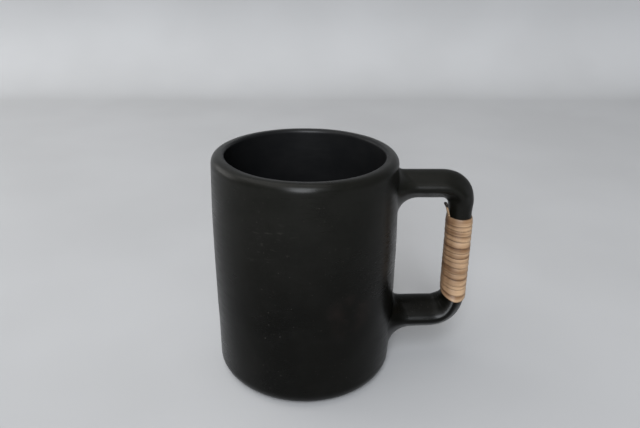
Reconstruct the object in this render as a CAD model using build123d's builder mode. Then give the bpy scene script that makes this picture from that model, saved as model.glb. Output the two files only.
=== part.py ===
from build123d import *

import os

# Hand-built black clay mug with a squared handle whose grip is bound with split cane.
#
# The clay body is the set of pieces that a potter joins while they are leather hard: a floor slab, the wall
# that stands on it, a coil pressed into the inside corner, one rolled bar bent into the handle, and a coil
# luted round each handle root. The binding is a flat strip wound round the grip over a lock strip that is
# laid along the inner side of the grip.
#
# Frame: millimetres, origin on the cup's axis at the face it stands on, +Z up, handle along +X.

# Cup: outer radii are those of the wall line carried to the top and to the base.
height = 105.0
rim_radius = 41.0
foot_radius = 40.35
wall_belly = 0.6  # how far the wall stands out of a straight line at mid height
foot_edge_radius = 7.2
rim_outer_radius = 3.8
rim_inner_radius = 1.4
bore_radius = 35.2
floor_thickness = 7.5
corner_coil_size = 6.0  # leg of the coil along the floor and up the wall
corner_coil_hollow = 7.0  # radius of the coil's hollow face
wall_bevel = 2.6  # how far the wall's inside foot is cut back for the coil

# Handle bar: centre line
grip_x = 70.2
upper_arm_z = 90.3
lower_arm_z = 24.9
upper_bend_radius = 8.0
lower_bend_radius = 9.0
root_x = bore_radius + 2.0  # the bar is modelled into the wall and then coped to it

# Handle bar: radii along the centre line
upper_root_bar = 6.5
upper_arm_bar = 6.4
grip_bar = 5.5
lower_arm_bar = 7.9
lower_root_bar = 7.9

# Luted coils: each is a hollow flare about an axis that lies below its arm
upper_lute_drop = 2.2
upper_lute_radius = 10.4
upper_lute_reach = 7.5
lower_lute_drop = 3.0
lower_lute_radius = 12.6
lower_lute_reach = 8.5
lute_lip = 0.4  # thickness of a flare's edge where it dies out on the bar

# Cane binding
binding_bottom = 34.4
turns = 14
turn_pitch = 2.72
strip_width = 2.62
strip_thickness = 0.55
strip_crown = 0.15  # how far the strip's outer face is rounded
binding_clearance = 0.03
lock_width = 2.6
lock_thickness = 0.5
lock_bottom = 35.5
lock_leaves_z = 76.4  # where the lock strip stops lying along the grip
lock_tip_rise = 4.6
lock_tip_lean = 1.6

binding_top = binding_bottom + turns * turn_pitch + strip_width
binding_inner = grip_bar + binding_clearance
# The lock strip lies on a flat, so that its corners stay inside the binding.
lock_outer = (binding_inner**2 - (lock_width / 2) ** 2) ** 0.5 - binding_clearance
lock_flat = lock_outer - lock_thickness


def wall_x(z):
    """Radius of the outer wall line at height z, without its belly."""
    return foot_radius + (rim_radius - foot_radius) * z / height


# Half section of the whole cup as a filled shape
with BuildSketch() as cup_outline:
    with BuildLine():
        Line((0, height), (0, 0))
        Line((0, 0), (foot_radius, 0))
        ThreePointArc((foot_radius, 0), (wall_x(height / 2) + wall_belly, height / 2), (rim_radius, height))
        Line((rim_radius, height), (0, height))
    make_face()
    fillet(cup_outline.vertices().group_by(Axis.Y)[-1].sort_by(Axis.X)[-1], rim_outer_radius)
    fillet(cup_outline.vertices().group_by(Axis.Y)[0].sort_by(Axis.X)[-1], foot_edge_radius)

with BuildPart() as cup_block:
    with BuildSketch(Plane.XZ):
        add(cup_outline.sketch)
    revolve(axis=Axis.Z)

# Floor slab: a disc with a rounded edge
with BuildPart() as floor_slab:
    with BuildSketch(Plane.XZ):
        add(cup_outline.sketch)
        with Locations((0, floor_thickness)):
            Rectangle(4 * rim_radius, height, align=(Align.CENTER, Align.MIN), mode=Mode.SUBTRACT)
    revolve(axis=Axis.Z)

# Wall: stands on the slab, with its inside foot bevelled for the corner coil
corner_top = floor_thickness + corner_coil_size
with BuildPart() as cup_wall:
    with BuildSketch(Plane.XZ) as wall_section:
        add(cup_outline.sketch)
        Rectangle(2 * bore_radius, 2 * height, mode=Mode.SUBTRACT)
        Rectangle(4 * rim_radius, 2 * floor_thickness, mode=Mode.SUBTRACT)
        fillet(wall_section.vertices().group_by(Axis.Y)[-1].sort_by(Axis.X)[0], rim_inner_radius)
        with BuildLine():
            Polyline(
                (bore_radius, corner_top),
                (bore_radius + wall_bevel, floor_thickness),
                (bore_radius, floor_thickness),
                close=True,
            )
        make_face(mode=Mode.SUBTRACT)
    revolve(axis=Axis.Z)

# Corner coil: fills the bevel and hollows out to the floor
with BuildPart() as corner_coil:
    with BuildSketch(Plane.XZ):
        with BuildLine():
            coil_foot = (bore_radius - corner_coil_size, floor_thickness)
            seat = Line((bore_radius + wall_bevel, floor_thickness), (bore_radius, corner_top))
            hollow = RadiusArc(seat @ 1, coil_foot, corner_coil_hollow)
            Line(hollow @ 1, seat @ 0)
        make_face()
    revolve(axis=Axis.Z)

# Handle bar: two arms, two bends and the straight grip between them
grip_top_z = upper_arm_z - upper_bend_radius
grip_bottom_z = lower_arm_z + lower_bend_radius
with BuildLine(Plane.XZ):
    upper_arm = Line((root_x, upper_arm_z), (grip_x - upper_bend_radius, upper_arm_z))
    upper_bend = TangentArc(upper_arm @ 1, (grip_x, grip_top_z), tangent=upper_arm % 1)
    grip = Line((grip_x, grip_top_z), (grip_x, grip_bottom_z))
    lower_bend = TangentArc(grip @ 1, (grip_x - lower_bend_radius, lower_arm_z), tangent=grip % 1)
    lower_arm = Line(lower_bend @ 1, (root_x, lower_arm_z))

bar_lengths = [
    (upper_arm, upper_root_bar, upper_arm_bar),
    (upper_bend, upper_arm_bar, grip_bar),
    (grip, grip_bar, grip_bar),
    (lower_bend, grip_bar, lower_arm_bar),
    (lower_arm, lower_arm_bar, lower_root_bar),
]
with BuildPart() as handle_bar:
    for length, start_radius, end_radius in bar_lengths:
        for share, radius in ((0, start_radius), (1, end_radius)):
            with BuildSketch(Plane(origin=length @ share, x_dir=(0, 1, 0), z_dir=length % share)):
                Circle(radius)
        sweep(path=length, multisection=True)

with BuildPart() as clay_handle:
    add(handle_bar.part)
    add(cup_block.part, mode=Mode.SUBTRACT)
    flat_depth = grip_bar - lock_flat
    with Locations((grip_x - lock_flat, 0, (lock_bottom + grip_top_z) / 2)):
        Box(
            2 * flat_depth,
            2 * grip_bar,
            grip_top_z - lock_bottom,
            align=(Align.MAX, Align.CENTER, Align.CENTER),
            mode=Mode.SUBTRACT,
        )


def luted_coil(arm_z, drop, radius, reach, bar):
    """Coil of clay pressed round a handle root: a hollow flare, cut back to the wall and the bar."""
    axis_z = arm_z - drop
    wall_face = wall_x(arm_z) + wall_belly
    tip = wall_face + reach
    with BuildPart() as coil:
        with BuildSketch(Plane.XZ):
            with BuildLine():
                flare = RadiusArc(
                    (tip, axis_z + bar - drop + lute_lip), (wall_face, axis_z + radius), 1.15 * reach
                )
                Polyline(flare @ 1, (root_x, axis_z + radius), (root_x, axis_z), (tip, axis_z), flare @ 0)
            make_face()
        revolve(axis=Axis((0, 0, axis_z), (1, 0, 0)))
        add(cup_block.part, mode=Mode.SUBTRACT)
        add(handle_bar.part, mode=Mode.SUBTRACT)
    return coil


upper_lute = luted_coil(upper_arm_z, upper_lute_drop, upper_lute_radius, upper_lute_reach, upper_root_bar)
lower_lute = luted_coil(lower_arm_z, lower_lute_drop, lower_lute_radius, lower_lute_reach, lower_root_bar)

# Binding strip: flat cane wound down the grip, rising towards the left as seen from the side
with BuildPart() as binding_strip:
    with BuildLine() as winding:
        Helix(
            pitch=turn_pitch,
            height=turns * turn_pitch,
            radius=binding_inner + strip_thickness / 2,
            center=(grip_x, 0, binding_bottom + strip_width / 2),
            lefthand=True,
        )
    strip_plane = Plane(origin=winding.line @ 0, x_dir=(1, 0, 0), z_dir=winding.line % 0)
    with BuildSketch(strip_plane):
        half_t, half_w = strip_thickness / 2, strip_width / 2
        with BuildLine():
            edge_t = half_t - strip_crown
            back = Polyline((edge_t, half_w), (-half_t, half_w), (-half_t, -half_w), (edge_t, -half_w))
            ThreePointArc(back @ 1, (half_t, 0), back @ 0)
        make_face()
    sweep(path=winding.wire(), is_frenet=True)

# Lock strip: lies along the flat under the turns, and its end springs away above them
lock_x = grip_x - lock_flat - lock_thickness / 2
with BuildPart() as lock_strip:
    with BuildLine(Plane.XZ) as lock_line:
        lying = Line((lock_x, lock_bottom), (lock_x, lock_leaves_z))
        TangentArc(lying @ 1, (lock_x - lock_tip_lean, lock_leaves_z + lock_tip_rise), tangent=lying % 1)
    with BuildSketch(Plane.XY.offset(lock_bottom)):
        with Locations((lock_x, 0)):
            Rectangle(lock_thickness, lock_width)
    sweep(path=lock_line.wire())

pieces = {
    "floor_slab": floor_slab,
    "cup_wall": cup_wall,
    "corner_coil": corner_coil,
    "clay_handle": clay_handle,
    "upper_lute_coil": upper_lute,
    "lower_lute_coil": lower_lute,
    "binding_strip": binding_strip,
    "lock_strip": lock_strip,
}
os.makedirs("parts", exist_ok=True)
for name, piece in pieces.items():
    piece.part.label = name
    export_step(piece.part, f"parts/{name}.step")
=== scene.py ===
import math

import bmesh
import bpy
from mathutils import Matrix, Vector, noise


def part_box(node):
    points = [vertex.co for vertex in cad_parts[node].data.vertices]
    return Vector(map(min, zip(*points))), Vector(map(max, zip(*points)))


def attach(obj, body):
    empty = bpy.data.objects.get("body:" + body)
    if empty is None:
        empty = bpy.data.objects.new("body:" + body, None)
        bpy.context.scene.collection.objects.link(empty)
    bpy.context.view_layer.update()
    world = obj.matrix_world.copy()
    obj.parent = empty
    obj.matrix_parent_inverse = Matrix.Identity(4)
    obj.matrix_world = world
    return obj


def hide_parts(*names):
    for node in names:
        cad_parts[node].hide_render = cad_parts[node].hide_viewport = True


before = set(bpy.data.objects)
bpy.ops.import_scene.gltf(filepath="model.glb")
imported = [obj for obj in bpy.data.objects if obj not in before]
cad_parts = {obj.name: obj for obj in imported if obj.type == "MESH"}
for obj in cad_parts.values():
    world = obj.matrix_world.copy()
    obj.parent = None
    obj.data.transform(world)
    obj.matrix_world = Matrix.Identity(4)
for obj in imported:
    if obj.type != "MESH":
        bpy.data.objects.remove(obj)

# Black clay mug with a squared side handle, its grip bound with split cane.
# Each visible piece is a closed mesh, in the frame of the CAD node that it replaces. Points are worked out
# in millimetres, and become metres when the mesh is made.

MM = 0.001
HAND_SEED = 4  # fixes noise_vector, whose offsets come from the clock otherwise
noise.seed_set(HAND_SEED)
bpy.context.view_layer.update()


# ---------------------------------------------------------------- measures, in millimetres

def node_box(node):
    """Lowest and highest corner of a CAD node, in millimetres."""
    low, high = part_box(node)
    return Vector(low) / MM, Vector(high) / MM


_, wall_high = node_box("cup_wall")
_, slab_high = node_box("floor_slab")
_, coil_high = node_box("corner_coil")
bar_low, bar_high = node_box("clay_handle")
wind_low, wind_high = node_box("binding_strip")

HEIGHT = wall_high.z
FLOOR_TOP = slab_high.z
BELLY = 0.6  # how far the wall stands out of a straight line at mid height
RIM_RADIUS = 41.0
FOOT_RADIUS = 40.35
BORE_RADIUS = 35.2
FOOT_EDGE = 7.2  # radii of the rounded edges
RIM_OUTER_EDGE = 3.4
RIM_INNER_EDGE = 1.5
COIL_TOP = coil_high.z
COIL_HOLLOW = 7.0
CUP_SIDES = 360
PROFILE_STEP = 0.8

UPPER_ARM = 6.4  # radii of the handle bar
LOWER_ARM = 7.9
GRIP_BAR = 5.3
GRIP_DEPTH = 1.17  # the grip is this many times deeper than it is wide
UPPER_BEND = 8.0  # radii of the centre line's bends
LOWER_BEND = 10.4
ARM_DROP = 0.5  # both arms are set this much lower than the CAD bar's box gives
UPPER_ARM_Z = bar_high.z - UPPER_ARM - ARM_DROP
LOWER_ARM_Z = bar_low.z + LOWER_ARM - ARM_DROP
GRIP_X = (wind_low.x + wind_high.x) / 2
GRIP_LEAN = 0.4  # how far the grip leans out on its way down
ROOT_FROM_BORE = 2.6  # the bar's two ends stay inside the wall


# ---------------------------------------------------------------- camera

def add_camera():
    """Camera at the reference view: 0.28 m in front of the cup's axis, looking down by 23 degrees."""
    back, up = 283.5 * MM, 197.5 * MM
    turned = math.radians(2.0)  # how far the handle points away from the camera's side
    pitch, yaw, roll = 0.4052, 0.0235, 0.0147  # radians
    place = Vector((-back * math.sin(turned), -back * math.cos(turned), up))
    ahead = yaw + turned
    look = Vector((math.sin(ahead) * math.cos(pitch), math.cos(ahead) * math.cos(pitch), -math.sin(pitch)))
    level = Vector((math.cos(ahead), -math.sin(ahead), 0))
    over = level.cross(look)
    right = math.cos(roll) * level + math.sin(roll) * over
    top = math.cos(roll) * over - math.sin(roll) * level
    data = bpy.data.cameras.new("camera")
    data.sensor_width = 36
    data.lens = 38.42
    data.clip_start, data.clip_end = 0.01, 20
    camera = bpy.data.objects.new("camera", data)
    camera.matrix_world = Matrix((right, top, -look)).transposed().to_4x4()
    camera.location = place
    bpy.context.scene.collection.objects.link(camera)
    bpy.context.scene.camera = camera


add_camera()


# ---------------------------------------------------------------- mesh helpers

def smooth_step(x):
    """0 up to 0, 1 from 1 on, and a smooth rise between."""
    x = min(1.0, max(0.0, x))
    return x * x * (3 - 2 * x)


SLOW_LENGTH, SLOW_REACH = 46, 0.62  # the hand's slow wander: the length of its waves, and its strength
QUICK_LENGTH, QUICK_REACH = 15, 0.13
RISE_SHARE = 0.8  # the wander is weaker up and down than sideways
STEADY_FOOT = 12  # its rise and fall fades out below this height, so that the mug stands flat


def hand(p):
    """How far a point of the hand-made object lies from its ideal place, in mm. All pieces share it."""
    slow = noise.noise_vector(p / SLOW_LENGTH + Vector((3.1, 7.7, 1.3))) * SLOW_REACH
    quick = noise.noise_vector(p / QUICK_LENGTH + Vector((9.4, 2.2, 5.8))) * QUICK_REACH
    move = slow + quick
    move.z *= RISE_SHARE * smooth_step(p.z / STEADY_FOOT)
    return move


def new_piece(name, points, faces, material, node, crease=35, marks=None):
    """Closed smooth-shaded mesh from points in mm. It rides on the one body and replaces its node.
    Edges sharper than crease degrees stay sharp. marks gives each point a value of the strip attribute."""
    mesh = bpy.data.meshes.new(name)
    mesh.from_pydata([(p + hand(p)) * MM for p in points], [], faces)
    shape = bmesh.new()
    shape.from_mesh(mesh)
    bmesh.ops.recalc_face_normals(shape, faces=shape.faces)
    shape.to_mesh(mesh)
    shape.free()
    mesh.polygons.foreach_set("use_smooth", [True] * len(mesh.polygons))
    mesh.set_sharp_from_angle(angle=math.radians(crease))
    if marks:
        layer = mesh.attributes.new("strip", "FLOAT_VECTOR", "POINT")
        layer.data.foreach_set("vector", [number for mark in marks for number in mark])
    mesh.materials.append(material)
    piece = bpy.data.objects.new(name, mesh)
    bpy.context.scene.collection.objects.link(piece)
    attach(piece, "root")
    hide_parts(node)


def ring_faces(rings, sides, closed):
    """Quads between successive rings of points. A closed run joins the last ring to the first."""
    faces = []
    for i in range(rings if closed else rings - 1):
        a, b = i * sides, (i + 1) % rings * sides
        for j in range(sides):
            k = (j + 1) % sides
            faces.append((a + j, a + k, b + k, b + j))
    return faces


def end_fans(rings, sides):
    """Fans that close an open run of rings on its last two points: the hub of the first ring, then that of
    the last ring."""
    first_hub, last = rings * sides, (rings - 1) * sides
    faces = []
    for j in range(sides):
        k = (j + 1) % sides
        faces.append((first_hub, k, j))
        faces.append((first_hub + 1, last + j, last + k))
    return faces


def end_caps(rings, sides):
    """One flat face on each end of an open run of rings."""
    return [tuple(range(sides)), tuple((rings - 1) * sides + j for j in reversed(range(sides)))]


def arc(centre, radius, start, end, steps):
    """Points (r, z) on an arc, angles in degrees."""
    angles = [math.radians(start + (end - start) * i / steps) for i in range(steps + 1)]
    return [(centre[0] + radius * math.cos(a), centre[1] + radius * math.sin(a)) for a in angles]


def run(start, end, step):
    """Points on a straight run, both ends left out."""
    length = math.dist(start, end)
    count = max(1, round(length / step))
    return [
        (start[0] + (end[0] - start[0]) * i / count, start[1] + (end[1] - start[1]) * i / count)
        for i in range(1, count)
    ]


def lathe(profile):
    """Rings of points round the Z axis, one for each profile point."""
    angles = [math.tau * j / CUP_SIDES for j in range(CUP_SIDES)]
    return [Vector((r * math.cos(a), r * math.sin(a), z)) for r, z in profile for a in angles]


# ---------------------------------------------------------------- cup

def wall_radius(z):
    """Outer radius of the cup at height z, with the rounded foot edge."""
    line = FOOT_RADIUS + (RIM_RADIUS - FOOT_RADIUS) * z / HEIGHT
    line += BELLY * math.sin(math.pi * max(0, z) / HEIGHT)
    if z < FOOT_EDGE:
        line -= FOOT_EDGE - math.sqrt(FOOT_EDGE**2 - (FOOT_EDGE - max(0, z)) ** 2)
    return line


def outer_profile(low, high):
    count = round((high - low) / PROFILE_STEP)
    heights = [low + (high - low) * i / count for i in range(count + 1)]
    return [(wall_radius(z), z) for z in heights]


def make_slab(material):
    """Floor slab: flat base, rounded edge, flat top under the wall and inside the cup."""
    edge_steps, flat_rings = 16, 24
    heights = [FOOT_EDGE * (1 - math.cos(math.radians(90 * i / edge_steps))) for i in range(edge_steps + 1)]
    foot = [(wall_radius(z), z) for z in heights]
    flat = foot[0][0]
    top = wall_radius(FLOOR_TOP)
    profile = [(flat * i / flat_rings, 0) for i in range(1, flat_rings)] + foot
    profile += [(top * i / flat_rings, FLOOR_TOP) for i in range(flat_rings, 0, -1)]
    points = lathe(profile) + [Vector((0, 0, 0)), Vector((0, 0, FLOOR_TOP))]
    faces = ring_faces(len(profile), CUP_SIDES, closed=False)
    faces += end_fans(len(profile), CUP_SIDES)
    new_piece("clay_floor_slab", points, faces, material, "floor_slab")


def make_wall(material):
    """Wall with its thick rolled rim, standing on the slab. Its inside foot is bevelled for the coil."""
    rim_out = (wall_radius(HEIGHT) - RIM_OUTER_EDGE, HEIGHT - RIM_OUTER_EDGE)
    rim_in = (BORE_RADIUS + RIM_INNER_EDGE, HEIGHT - RIM_INNER_EDGE)
    bevel = (coil_high.x, FLOOR_TOP)
    profile = outer_profile(FLOOR_TOP, rim_out[1])
    profile += arc(rim_out, RIM_OUTER_EDGE, 0, 90, 12)[1:]
    profile += arc(rim_in, RIM_INNER_EDGE, 90, 180, 7)
    profile += run((BORE_RADIUS, rim_in[1]), (BORE_RADIUS, COIL_TOP), PROFILE_STEP)
    profile += [(BORE_RADIUS, COIL_TOP), bevel]
    faces = ring_faces(len(profile), CUP_SIDES, closed=True)
    new_piece("clay_wall", lathe(profile), faces, material, "cup_wall")


def make_corner_coil(material):
    """Coil pressed into the inside corner, hollow towards the cup."""
    foot = (BORE_RADIUS - (COIL_TOP - FLOOR_TOP), FLOOR_TOP)
    top = (BORE_RADIUS, COIL_TOP)
    half = math.dist(foot, top) / 2
    sag = math.sqrt(COIL_HOLLOW**2 - half**2)
    centre = ((foot[0] + top[0]) / 2 - sag / math.sqrt(2), (foot[1] + top[1]) / 2 + sag / math.sqrt(2))
    start = math.degrees(math.atan2(top[1] - centre[1], top[0] - centre[0]))
    end = math.degrees(math.atan2(foot[1] - centre[1], foot[0] - centre[0]))
    hollow = arc(centre, COIL_HOLLOW, start, end, 14)
    profile = hollow + [(BORE_RADIUS, FLOOR_TOP), (coil_high.x, FLOOR_TOP)]
    faces = ring_faces(len(profile), CUP_SIDES, closed=True)
    new_piece("clay_corner_coil", lathe(profile), faces, material, "corner_coil")


# ---------------------------------------------------------------- handle

BEND_BAR = 5.5  # the bar's radius where the lower bend starts
BEND_GAIN = 2.3  # how much its radius gains round that bend
BEND_HURRY = 1.8  # above 1, the gain is complete before the bend ends
LINE_SOFTENING = 1.6  # half lengths of the moving averages along the bar
RADIUS_SOFTENING = 3.0


class Bar:
    """The rolled bar: a smooth centre line in the XZ plane with a radius along it, from the upper root to
    the lower root."""

    def __init__(self, step=0.5):
        root = BORE_RADIUS + ROOT_FROM_BORE
        foot_x = GRIP_X + GRIP_LEAN
        line = [(root, UPPER_ARM_Z), (GRIP_X - UPPER_BEND, UPPER_ARM_Z)]
        path = [line[0]] + run(*line, step) + [line[1]]
        path += self.bend(GRIP_X - UPPER_BEND, UPPER_ARM_Z - UPPER_BEND, UPPER_BEND, 90, step)
        self.grip_from = len(path) - 1
        line = [path[-1], (foot_x, LOWER_ARM_Z + LOWER_BEND)]
        path += run(*line, step) + [line[1]]
        self.grip_to = len(path) - 1
        path += self.bend(foot_x - LOWER_BEND, LOWER_ARM_Z + LOWER_BEND, LOWER_BEND, 0, step)
        self.lower_from = len(path) - 1
        line = [path[-1], (root, LOWER_ARM_Z)]
        path += run(*line, step) + [line[1]]
        self.step = step
        self.points = self.soften([Vector((x, 0, z)) for x, z in path], round(LINE_SOFTENING / step))
        radii = [self.target_radius(i) for i in range(len(path))]
        self.radii = self.soften(radii, round(RADIUS_SOFTENING / step))

    @staticmethod
    def bend(x, z, radius, start, step):
        """Quarter arc from an angle downwards, its first point left out."""
        return arc((x, z), radius, start, start - 90, round(radius * math.pi / 2 / step))[1:]

    def target_radius(self, i):
        """Radius at point i of the line, before it is softened."""
        if i < self.grip_from:
            return UPPER_ARM
        if i < self.grip_to:
            return GRIP_BAR
        if i < self.lower_from:
            share = (i - self.grip_to) / (self.lower_from - self.grip_to)
            return BEND_BAR + BEND_GAIN * smooth_step(share * BEND_HURRY)
        return LOWER_ARM

    @staticmethod
    def soften(values, reach):
        """Moving average, run twice, that keeps both ends."""
        for _ in range(2):
            out = []
            for i in range(len(values)):
                k = min(reach, i, len(values) - 1 - i)
                window = values[i - k:i + k + 1]
                out.append(sum(window[1:], window[0]) / len(window))
            values = out
        return values

    def at(self, s):
        """Centre, outward normal and radius at a distance s along the line."""
        x = min(max(s / self.step, 0.0), len(self.points) - 1.001)
        i, f = int(x), x - int(x)
        centre = self.points[i].lerp(self.points[i + 1], f)
        a, b = max(i - 1, 0), min(i + 2, len(self.points) - 1)
        ahead = (self.points[b] - self.points[a]).normalized()
        out = ahead.cross(Vector((0, 1, 0)))
        return centre, out, self.radii[i] * (1 - f) + self.radii[i + 1] * f

    def length(self):
        return (len(self.points) - 1) * self.step


bar = Bar()


# The arms are pressed between the fingers to four soft flats: the way each flat faces, in degrees above
# the -Y direction, and its distance as a share of the bar's radius. They fade out round the bends.
FLATS = ((59, 0.91), (-53, 0.91), (-132, 1.03), (139, 1.03))
FLAT_POWER = 3.5  # a higher power gives sharper shoulders between the flats
UPPER_FADE = (9.0, 6.0)  # how far from the arm's middle height they begin, and over how much they grow
LOWER_FADE = (12.5, 9.0)


def flattened(rise, forward):
    """Radius factor of a pressed arm in a direction given by its +Z and -Y shares."""
    total = 0.0
    for facing, distance in FLATS:
        facing = math.radians(facing)
        reach = (math.sin(facing) * rise + math.cos(facing) * forward) / distance
        total += max(0.0, reach) ** FLAT_POWER
    return total ** (-1 / FLAT_POWER)


def bar_surface(s, angle, lift=0.0):
    """Point on the bar at s along it and angle round it: 0 is the outer side, a quarter turn is the -Y
    side."""
    centre, out, radius = bar.at(s)
    if centre.z > (UPPER_ARM_Z + LOWER_ARM_Z) / 2:
        over = 1
        begin, growth = UPPER_FADE
        pressed = smooth_step((centre.z - UPPER_ARM_Z + begin) / growth)
    else:
        over = -1
        begin, growth = LOWER_FADE
        pressed = smooth_step((LOWER_ARM_Z + begin - centre.z) / growth)
    factor = 1 + pressed * (flattened(over * math.cos(angle), math.sin(angle)) - 1)
    deep = 1 + (1 - pressed) * (GRIP_DEPTH - 1) * math.sin(angle) ** 2
    away = math.cos(angle) * out - math.sin(angle) * Vector((0, 1, 0))
    return centre + (radius * factor * deep + lift) * away


def make_handle(material):
    """The bar itself, its two roots sunk in the wall."""
    sides, step = 72, 0.6
    steps = round(bar.length() / step)
    points = []
    for i in range(steps + 1):
        s = bar.length() * i / steps
        points += [bar_surface(s, -math.tau * j / sides) for j in range(sides)]
    points += [bar.at(0)[0], bar.at(bar.length())[0]]
    faces = ring_faces(steps + 1, sides, closed=False)
    faces += end_fans(steps + 1, sides)
    new_piece("clay_handle_bar", points, faces, material, "clay_handle")


def wall_x(y, z):
    """Where the cup's outer face stands on the handle's side."""
    return math.sqrt(wall_radius(z) ** 2 - y * y)


FLARE_PULL = 0.56  # a higher share holds the flare longer to the bar and to the wall
FLARE_TUCK = 0.4  # how far the flare's two edges run on, just under the faces that they blend into
FLARE_SUNK = 1.4  # how deep the coil goes into the bar and the wall
CLEAR_X = 45.0  # a place along X where the bar has left the wall


def make_lute(name, node, arm_z, at_root, reach, spread, material):
    """Coil luted round a root: a hollow flare from the bar to the wall, tangent to both.
    reach and spread give the flare's length along the bar and along the wall as (above, beside, below)."""
    sides, steps, probe = 96, 22, 0.5

    def share(values, up):
        above, beside, below = values
        return beside + (above - beside) * max(0, up) ** 1.5 + (below - beside) * max(0, -up) ** 1.5

    def bar_point(x, angle, lift=0.0):
        """Point of the bar at X, with angle 0 on top and a quarter turn on the -Y side."""
        s = x - bar.points[0].x if at_root == "upper" else bar.length() - (x - bar.points[-1].x)
        own = angle if at_root == "upper" else math.pi - angle
        return bar_surface(s, own, lift)

    points = []
    for j in range(sides):
        angle = math.tau * j / sides
        up = math.cos(angle)
        along, out = share(reach, up), share(spread, up)
        radial = Vector((0, -math.sin(angle), math.cos(angle)))
        hub = Vector((0, 0, arm_z))
        foot = bar_point(CLEAR_X, angle)
        foot_q = (foot - hub).dot(radial)
        end_q = foot_q + out

        def on_wall(q, depth=0.0):
            p = hub + radial * q
            return Vector((wall_x(p.y, p.z) - depth, p.y, p.z))

        wall_end = on_wall(end_q)
        start = bar_point(on_wall(foot_q).x + along, angle)
        start_dir = (bar_point(start.x - probe, angle) - start).normalized()
        end_dir = (on_wall(end_q - probe) - wall_end).normalized()
        a = start + start_dir * along * FLARE_PULL
        b = wall_end + end_dir * out * FLARE_PULL
        loop = [bar_point(start.x + FLARE_TUCK, angle, -0.05)]
        for i in range(steps + 1):
            t = i / steps
            loop.append(
                start * (1 - t) ** 3 + a * 3 * t * (1 - t) ** 2 + b * 3 * t * t * (1 - t) + wall_end * t**3
            )
        loop += [on_wall(end_q + FLARE_TUCK, 0.05), on_wall(end_q, FLARE_SUNK)]
        loop += [on_wall(foot_q - FLARE_SUNK, FLARE_SUNK), bar_point(start.x, angle, -FLARE_SUNK)]
        points += loop
    faces = ring_faces(sides, len(loop), closed=True)
    new_piece(name, points, faces, material, node, crease=60)


# ---------------------------------------------------------------- cane binding

STRIP_WIDTH = 3.6
STRIP_THICK = 0.40
TURNS = 15.0
WIND_FROM = math.radians(285)  # both ends of the winding are on the far side of the grip
WIND_LOW_Z = 34.6  # the winding's lower end, where the bend begins
WIND_HIGH_Z = wind_high.z
TILT_TOP, TILT_GAIN = -1.0, 6.0  # degrees, on the top turn, and what the lowest turn has more
DROOP_TOP, DROOP_GAIN = 4.0, 26.0
DROOP_PIVOT = 0.45  # sine of the angle round the grip at which a drooping turn keeps its height
STRIP_WANDER, WIDTH_CHANGE = 0.30, 0.10  # in mm, and as a share of the width
PACE_WAVES = ((0.010, 17, 0), (0.007, 41, 1))  # size, rate and phase of the unevenness in the spacing
STRIP_GAP = 0.04  # between the clay and the strip
RIDE, LOOSE_RIDE = 0.95, 0.6  # lift of a turn's lower edge in thicknesses, and what a loose turn adds
CROWN_FALL, CROWN_POWER = 0.30, 2.2  # a higher power keeps the strip's face flatter in its middle
EDGE_FLAT, EDGE_ROUND = 0.80, 0.20  # shares of the strip's half width

LOCK_WIDTH = 2.6
LOCK_THICK = 0.4
LOCK_SIDE = math.radians(163)  # the lock strip lies a little to the near side of the grip's inner face
LOCK_FREE = 7.5  # length of its free end, from the top of the winding
LOCK_HIDDEN = 3.4  # how far it stops short of the winding's lower end
LOCK_LEAVES = 0.6  # how far above the winding's top it leaves the clay
KNOB_AT, KNOB_REACH = 0.88, 0.10  # shares of the free end
RIDGE_CORE, RIDGE_SLOPE = 0.42, 1.9  # half of its flat top, in lock strip widths, then a slope in mm
RIDGE_END, RIDGE_FADE = 1.5, 4.0  # it ends this far above the winding's lower end, after a fade this long


def s_at_height(z):
    """Distance along the bar of a point of the grip, or just round its bends, at height z."""
    spare = 4
    best = min(range(bar.grip_from - spare, bar.lower_from), key=lambda i: abs(bar.points[i].z - z))
    return best * bar.step


# Distances along the bar grow downwards on the grip, so the lower end has the greater one.
WIND_START = s_at_height(WIND_LOW_Z)
WIND_END = s_at_height(WIND_HIGH_Z)


def around(angle):
    """Angle from the lock strip's middle line, from minus pi to pi."""
    return (angle - LOCK_SIDE + math.pi) % math.tau - math.pi


def lock_ridge(s, angle):
    """How far the lock strip lifts the turns, at s along the bar and an angle round the grip."""
    off = abs(around(angle)) * GRIP_BAR
    beside = 1 - smooth_step((off - LOCK_WIDTH * RIDGE_CORE) / RIDGE_SLOPE)
    return LOCK_THICK * beside * smooth_step((WIND_START - RIDGE_END - s) / RIDGE_FADE)


def strip_frame(turn):
    """Middle of the strip at a turn count from the lower end: distance along the bar and angle."""
    share = turn / TURNS
    pace = share
    for size, rate, phase in PACE_WAVES:
        pace += size * math.sin(share * rate + phase)
    s = WIND_START + (WIND_END - WIND_START) * pace
    return s, math.tau * turn + WIND_FROM


def strip_point(turn, across, lift):
    """Point of the winding: across runs from -1 at the lower edge to 1 at the upper edge. A turn tilts down
    towards the outer side and droops on the near side, the lower turns most."""
    s, angle = strip_frame(turn)
    share = turn / TURNS
    tilt = math.tan(math.radians(TILT_GAIN * (1 - share) + TILT_TOP))
    droop = math.tan(math.radians(DROOP_TOP + DROOP_GAIN * (1 - share) ** 2))
    wander = STRIP_WANDER * noise.noise(Vector((turn * 1.7, 4.0, 0.5)))
    width = STRIP_WIDTH * (1 + WIDTH_CHANGE * noise.noise(Vector((turn * 1.1, 11.0, 3.0))))
    lean = tilt * math.cos(angle) + droop * (math.sin(angle) - DROOP_PIVOT)
    s_here = s + lean * GRIP_BAR - across * width / 2 + wander
    return bar_surface(min(max(s_here, 0), bar.length()), angle, lift)


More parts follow.
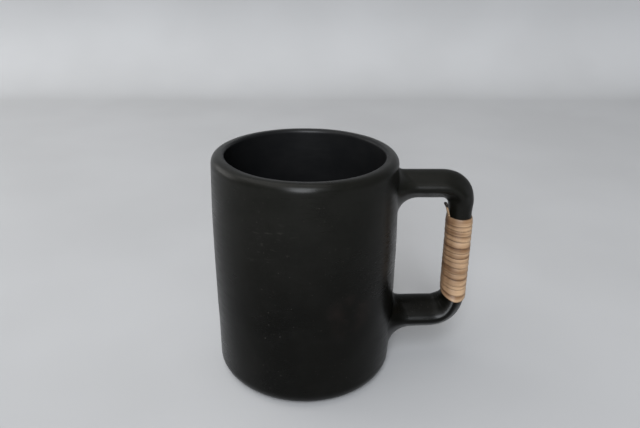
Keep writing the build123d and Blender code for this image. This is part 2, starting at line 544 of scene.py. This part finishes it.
def strip_lift(turn, across):
    """Height of the strip's back and face over the clay: its lower edge rides on the turn below it, more on
    some turns than on others. The face is crowned and the edges are rounded."""
    loose = 0.5 + 0.5 * noise.noise(Vector((turn * 0.9, 1.0, 8.0)))
    seat = STRIP_GAP + (0.5 - 0.5 * across) * STRIP_THICK * (RIDE + LOOSE_RIDE * loose)
    rounding = math.sqrt(max(0.0, 1 - max(0.0, (abs(across) - EDGE_FLAT) / EDGE_ROUND) ** 2))
    crown = STRIP_THICK * (1 - CROWN_FALL * abs(across) ** CROWN_POWER)
    return seat + 0.32 * STRIP_THICK * (1 - rounding), seat + crown * (0.35 + 0.65 * rounding)


def make_binding(material):
    """Split-cane strip wound up the grip from its lower end, thinned where it starts and stops."""
    half_spread = [0.15, 0.45, 0.7, 0.84, 0.93, 0.98, 1.0]
    spread = [-across for across in reversed(half_spread)] + half_spread
    steps_per_turn, thinned_turns = 96, 0.12
    count = round(TURNS * steps_per_turn)
    points, marks = [], []
    turn_length = math.tau * (GRIP_BAR + 0.5)
    for i in range(count + 1):
        turn = TURNS * i / count
        ends = 0.25 + 0.75 * smooth_step(min(turn, TURNS - turn) / thinned_turns)
        ridge = lock_ridge(*strip_frame(turn))
        front = [(across, strip_lift(turn, across)[1]) for across in spread]
        back = [(across, strip_lift(turn, across)[0]) for across in reversed(spread)]
        for across, lift in front + back:
            points.append(strip_point(turn, across, ridge + lift * ends))
            marks.append((turn * turn_length * MM, across, turn))
    per = 2 * len(spread)
    faces = ring_faces(count + 1, per, closed=False) + end_caps(count + 1, per)
    new_piece("cane_binding", points, faces, material, "binding_strip", 50, marks)


def make_lock_strip(material):
    """Strip laid along the inner side of the grip. Its upper end leaves the turns, stands away from the
    clay and ends in a charred knob."""
    top, bottom = WIND_END - LOCK_FREE, WIND_START - LOCK_HIDDEN
    leaves = WIND_END - LOCK_LEAVES
    hidden = WIND_END + 0.5  # under the turns from here on
    steps, per = 120, 12
    points, marks = [], []
    for i in range(steps + 1):
        s = top + (bottom - top) * i / steps
        free = max(0.0, (hidden - s) / (hidden - top))
        knob = math.exp(-(((free - KNOB_AT) / KNOB_REACH) ** 2))
        half = LOCK_WIDTH / 2 * (1 - 0.20 * free + 0.15 * knob - 0.4 * smooth_step((free - 0.95) / 0.05))
        thick = LOCK_THICK * (1 + 1.6 * free + 1.3 * knob)
        rise = max(0.0, leaves - s)
        away = Vector((-0.15 * rise - 0.75 * free + 0.2 * knob, -0.10 * rise, 0.93 * rise))
        for j in range(per):
            turned = math.tau * j / per
            across, depth = math.cos(turned), 0.5 + 0.5 * math.sin(turned)
            across *= 1 - 0.25 * abs(math.sin(turned)) ** 3
            ragged = 0.16 * free**2 * noise.noise(Vector((i * 0.21, j * 1.3, 2.0)))
            angle = LOCK_SIDE + across * half / GRIP_BAR
            points.append(bar_surface(max(s, leaves), angle, 0.02 + thick * depth + ragged) + away)
            marks.append((s * MM, across, -free))
    faces = ring_faces(steps + 1, per, closed=False) + end_caps(steps + 1, per)
    new_piece("cane_lock_strip", points, faces, material, "lock_strip", 60, marks)


# ---------------------------------------------------------------- materials

# Colours are linear, with an alpha of 1.
SOOT = ((0.0006, 0.0006, 0.0003, 1), (0.0012, 0.0012, 0.0007, 1))
# Painted light: greys that the outside turns to towards the rim.
RIM_PAINTED_LIGHT = ((0.0038, 0.0038, 0.0030, 1), (0.0056, 0.0056, 0.0045, 1))
ASH_CLOUD = (0.0034, 0.0032, 0.0028, 1)
CUP_INSIDE = ((0.0038, 0.0040, 0.0043, 1), (0.0050, 0.0051, 0.0053, 1))
INSIDE_EDGE = (0.7, 2.2)  # mm from the bore, over which the inside's tone gives way to the outside's
BROWN_BLOOM = (0.022, 0.013, 0.011, 1)
BLOOM_AT, BLOOM_REACH = (0.018, -0.0365, 0.045), 0.014  # metres
PALE_SCUFF = (0.075, 0.07, 0.062, 1)
SCUFFS_AT, SCUFFS_REACH = (-0.016, -0.038, 0.078), 0.016
CANE_SKIN = ((0.165, 0.086, 0.038, 1), (0.42, 0.28, 0.165, 1))
CANE_FIBRE = (0.12, 0.060, 0.025, 1)
CANE_STREAK = (0.43, 0.33, 0.225, 1)
# Dirt and painted shade for the strip's edges, where the turns meet.
CANE_DIRT_AND_SHADE = (0.055, 0.027, 0.011, 1)
# Painted shade for the grip's inner side, multiplied into the cane's colour.
CANE_PAINTED_SHADE = (0.42, 0.38, 0.35, 1)
CHARRED = (0.012, 0.008, 0.006, 1)
FLOOR_TONES = ((0.285, 0.286, 0.288, 1), (0.300, 0.301, 0.304, 1))


class Shader:
    """Builds one node material. add() makes a node, set or linked by socket name."""

    def __init__(self, name):
        self.material = bpy.data.materials.new(name)
        self.material.use_nodes = True
        self.tree = self.material.node_tree
        self.surface = self.tree.nodes["Principled BSDF"]

    def put(self, node, socket, value):
        target = node.inputs[socket]
        if isinstance(value, bpy.types.NodeSocket):
            self.tree.links.new(value, target)
        else:
            target.default_value = value

    def add(self, kind, sockets=None, **settings):
        node = self.tree.nodes.new(kind)
        for key, value in settings.items():
            setattr(node, key, value)
        for socket, value in (sockets or {}).items():
            self.put(node, socket, value)
        return node

    def noise(self, vector, scale, detail=3.0, rough=0.5):
        sockets = {"Vector": vector, "Scale": scale, "Detail": detail, "Roughness": rough}
        return self.add("ShaderNodeTexNoise", sockets).outputs["Fac"]

    def stretch(self, vector, scale, turn=(0, 0, 0)):
        sockets = {"Vector": vector, "Scale": scale, "Rotation": turn}
        return self.add("ShaderNodeMapping", sockets).outputs["Vector"]

    def math(self, operation, a, b=0.0):
        node = self.add("ShaderNodeMath", operation=operation)
        self.put(node, 0, a)
        self.put(node, 1, b)
        return node.outputs[0]

    def remap(self, value, low, high, to_low=0.0, to_high=1.0):
        sockets = {"Value": value, "From Min": low, "From Max": high, "To Min": to_low, "To Max": to_high}
        return self.add("ShaderNodeMapRange", sockets, interpolation_type="SMOOTHSTEP").outputs["Result"]

    def mix(self, share, a, b, blend="MIX"):
        node = self.add("ShaderNodeMix", data_type="RGBA", blend_type=blend)
        self.put(node, 0, share)
        self.put(node, 6, a)
        self.put(node, 7, b)
        return node.outputs[2]

    def bump(self, height, distance, strength=1.0, under=None):
        sockets = {"Height": height, "Distance": distance, "Strength": strength}
        if under:
            sockets["Normal"] = under
        return self.add("ShaderNodeBump", sockets).outputs["Normal"]

    def place(self):
        return self.add("ShaderNodeTexCoord").outputs["Object"]

    def near(self, vector, point, radius):
        """1 at a point of the object, falling to 0 at radius from it."""
        gap = self.add("ShaderNodeVectorMath", {0: vector, 1: point}, operation="DISTANCE").outputs["Value"]
        return self.remap(gap, 0.0, radius, 1.0, 0.0)


def clay_material():
    """Smoked and burnished black clay, a little greyer in the cup, and painted a little greyer towards the
    rim as
    painted light: satin skin with burnishing strokes, fine pits, faint pale scuffs and a faint brown bloom."""
    s = Shader("burnished_black_clay")
    place = s.place()
    broad = s.noise(place, 26.0, 3.0, 0.55)
    cloud = s.noise(place, 95.0, 4.0, 0.6)
    strokes = s.noise(s.stretch(place, (110, 110, 760), (0, 0.10, 0.4)), 1.0, 3.0, 0.55)
    crossing = s.noise(s.stretch(place, (150, 150, 620), (0.22, -0.16, 1.1)), 1.0, 2.0, 0.5)
    grain = s.noise(place, 1900.0, 3.0, 0.65)
    pits = s.remap(s.noise(place, 720.0, 2.0, 0.5), 0.66, 0.76)

    height = s.add("ShaderNodeSeparateXYZ", {"Vector": place}).outputs["Z"]
    colour = s.mix(s.remap(broad, 0.3, 0.7), *SOOT)
    # Painted light: the outside is painted greyer up towards the rim, as light on the upper body.
    rim_painted_light = s.mix(s.remap(cloud, 0.35, 0.70), *RIM_PAINTED_LIGHT)
    colour = s.mix(s.remap(height, 0.035, 0.104), colour, rim_painted_light)
    colour = s.mix(s.math("MULTIPLY", s.remap(cloud, 0.45, 0.75), 0.4), colour, ASH_CLOUD)
    bloom = s.math("MULTIPLY", s.near(place, BLOOM_AT, BLOOM_REACH), s.remap(cloud, 0.34, 0.72))
    colour = s.mix(s.math("MULTIPLY", bloom, 0.34), colour, BROWN_BLOOM)
    scratch = s.noise(s.stretch(place, (180, 180, 900), (0.0, 0.25, 0.2)), 1.0, 2.0, 0.6)
    scratch = s.remap(scratch, 0.60, 0.70)
    scuffs = s.math("MULTIPLY", scratch, s.near(place, SCUFFS_AT, SCUFFS_REACH))
    dust = s.remap(s.noise(place, 1250.0, 1.0, 0.5), 0.74, 0.80)
    pale = s.math("MAXIMUM", s.math("MULTIPLY", scuffs, 0.20), s.math("MULTIPLY", dust, 0.28))
    colour = s.mix(pale, colour, PALE_SCUFF)

    flat = s.add("ShaderNodeVectorMath", {0: place, 1: (1, 1, 0)}, operation="MULTIPLY").outputs["Vector"]
    from_axis = s.add("ShaderNodeVectorMath", {0: flat}, operation="LENGTH").outputs["Value"]
    inner, outer = [(BORE_RADIUS + distance) * MM for distance in INSIDE_EDGE]
    inside = s.remap(from_axis, inner, outer, 1.0, 0.0)
    cup_tone = s.mix(s.remap(cloud, 0.3, 0.7), *CUP_INSIDE)
    colour = s.mix(inside, colour, cup_tone)

    rough = s.remap(strokes, 0.3, 0.72, 0.27, 0.34)
    rough = s.math("ADD", rough, s.math("MULTIPLY", inside, 0.08))
    rough = s.math("ADD", rough, s.remap(broad, 0.3, 0.7, -0.03, 0.05))
    rough = s.math("ADD", rough, s.math("MULTIPLY", pale, 0.2))

    marks = s.math("ADD", s.math("MULTIPLY", strokes, 0.6), s.math("MULTIPLY", crossing, 0.4))
    normal = s.bump(marks, 0.00005, 0.28)
    normal = s.bump(s.math("SUBTRACT", s.math("MULTIPLY", grain, 0.35), pits), 0.00003, 0.5, normal)

    s.put(s.surface, "Base Color", colour)
    s.put(s.surface, "Roughness", rough)
    s.put(s.surface, "Normal", normal)
    s.surface.inputs["Specular IOR Level"].default_value = 0.12
    return s.material


def cane_material():
    """Split cane: straw-coloured skin with long fibres, uneven tone from turn to turn, edges darkened with
    dirt and painted shade, painted shade on the inner side of the grip and a charred free end. The strip
    attribute holds the distance along in metres, the place across from -1 to 1, and the turn count. On the
    lock strip that last one is 0 under the turns and falls to -1 at the tip of the free end."""
    s = Shader("split_cane")
    mark = s.add("ShaderNodeAttribute", attribute_name="strip").outputs["Vector"]
    parts = s.add("ShaderNodeSeparateXYZ", {"Vector": mark}).outputs
    along, across, turn = parts["X"], parts["Y"], parts["Z"]

    def strip_noise(along_scale, across_scale, detail, rough):
        """Noise laid out along the strip, with a scale of its own each way."""
        x = s.math("MULTIPLY", along, along_scale)
        y = s.math("MULTIPLY", across, across_scale)
        space = s.add("ShaderNodeCombineXYZ", {"X": x, "Y": y}).outputs["Vector"]
        return s.noise(space, 1.0, detail, rough)

    fibres = strip_noise(120.0, 9.0, 4.0, 0.65)
    fine = strip_noise(260.0, 30.0, 3.0, 0.6)
    tone = strip_noise(31.0, 0.5, 2.0, 0.5)

    colour = s.mix(s.remap(tone, 0.36, 0.60), *CANE_SKIN)
    colour = s.mix(s.math("MULTIPLY", s.remap(fibres, 0.42, 0.72), 0.6), colour, CANE_FIBRE)
    colour = s.mix(s.math("MULTIPLY", s.remap(fine, 0.5, 0.8), 0.3), colour, CANE_STREAK)
    # Dirt and painted shade: the strip's edges, where one turn meets the next, are darkened in the colour.
    edge = s.remap(s.math("ABSOLUTE", across), 0.62, 0.98)
    edge_dirt_and_shade = s.math("MULTIPLY", edge, s.remap(tone, 0.30, 0.62, 0.85, 0.40))
    colour = s.mix(edge_dirt_and_shade, colour, CANE_DIRT_AND_SHADE)
    # Painted shade: the grip's inner side, towards the cup, is darkened in the winding's colour.
    round_grip = s.math("ADD", s.math("MULTIPLY", turn, math.tau), WIND_FROM - math.radians(180))
    painted_shade_side = s.remap(s.math("COSINE", round_grip), -0.95, 0.85)
    shade = s.math("MULTIPLY", painted_shade_side, s.math("GREATER_THAN", turn, 0.0))
    colour = s.mix(shade, colour, CANE_PAINTED_SHADE, "MULTIPLY")
    charred = s.remap(turn, -0.66, -0.76)  # only the lock strip's free end goes below 0
    colour = s.mix(charred, colour, CHARRED)

    s.put(s.surface, "Base Color", colour)
    s.put(s.surface, "Roughness", s.remap(fibres, 0.3, 0.7, 0.42, 0.62))
    s.put(s.surface, "Normal", s.bump(s.math("ADD", fibres, s.math("MULTIPLY", fine, 0.5)), 0.00006, 0.7))
    s.surface.inputs["Specular IOR Level"].default_value = 0.4
    return s.material


def floor_material():
    """Matt pale floor, very faintly patchy."""
    s = Shader("pale_floor")
    place = s.place()
    patches = s.remap(s.noise(place, 9.0, 2.0), 0.3, 0.7)
    s.put(s.surface, "Base Color", s.mix(patches, *FLOOR_TONES))
    s.surface.inputs["Roughness"].default_value = 0.85
    s.surface.inputs["Specular IOR Level"].default_value = 0.15
    return s.material


# ---------------------------------------------------------------- stage and light

def make_stage(material):
    """Pale floor that rises in a cove behind the mug."""
    half, back, front, rise, cove = 3.0, 0.62, -3.0, 1.6, 0.10  # metres
    steps = 12
    section = [(front, 0.0), (back - cove, 0.0)]
    for i in range(1, steps + 1):
        a = math.radians(90 * i / steps)
        section.append((back - cove + cove * math.sin(a), cove - cove * math.cos(a)))
    section.append((back, rise))
    points = [(x, y, z) for y, z in section for x in (-half, half)]
    faces = [(2 * i, 2 * i + 1, 2 * i + 3, 2 * i + 2) for i in range(len(section) - 1)]
    mesh = bpy.data.meshes.new("stage")
    mesh.from_pydata(points, [], faces)
    mesh.polygons.foreach_set("use_smooth", [True] * len(mesh.polygons))
    mesh.materials.append(material)
    stage = bpy.data.objects.new("stage", mesh)
    bpy.context.scene.collection.objects.link(stage)


def add_softbox(name, place, aim, size, power, colour):
    """Rectangular lamp, in metres and watts, that the camera doesn't see."""
    data = bpy.data.lights.new(name, "AREA")
    data.shape = "RECTANGLE"
    data.size, data.size_y = size
    data.energy = power
    data.color = colour
    light = bpy.data.objects.new(name, data)
    light.location = place
    light.rotation_euler = (Vector(aim) - Vector(place)).to_track_quat("-Z", "Y").to_euler()
    light.visible_camera = False
    bpy.context.scene.collection.objects.link(light)


def add_light():
    """Daylight from a tall window on the camera's side, a weak warm light overhead and one on the left."""
    mug, warm, daylight = (0, 0, 0.05), (1.0, 0.985, 0.96), (0.93, 0.96, 1.0)
    add_softbox("overhead", (-0.45, 0.0, 1.3), (-0.05, 0.15, 0), (1.4, 1.5), 14.0, warm)
    add_softbox("left_wall", (-0.85, 0.38, 0.36), mug, (0.7, 0.5), 3.0, warm)
    add_softbox("window", (-0.25, -2.0, 1.36), mug, (0.85, 2.2), 118.0, daylight)
    world = bpy.data.worlds.new("room")
    world.use_nodes = True
    world.node_tree.nodes["Background"].inputs["Color"].default_value = (0.9, 0.93, 1.0, 1)
    world.node_tree.nodes["Background"].inputs["Strength"].default_value = 0.2
    scene = bpy.context.scene
    scene.world = world
    scene.view_settings.view_transform = "Standard"


# ---------------------------------------------------------------- build

clay = clay_material()
cane = cane_material()
make_stage(floor_material())
make_slab(clay)
make_wall(clay)
make_corner_coil(clay)
make_handle(clay)
upper_reach, upper_spread = (3.0, 9.0, 10.0), (2.0, 5.5, 8.8)
lower_reach, lower_spread = (3.6, 9.0, 11.0), (3.2, 5.5, 9.4)
make_lute("clay_upper_lute", "upper_lute_coil", UPPER_ARM_Z, "upper", upper_reach, upper_spread, clay)
make_lute("clay_lower_lute", "lower_lute_coil", LOWER_ARM_Z, "lower", lower_reach, lower_spread, clay)
make_binding(cane)
make_lock_strip(cane)
add_light()
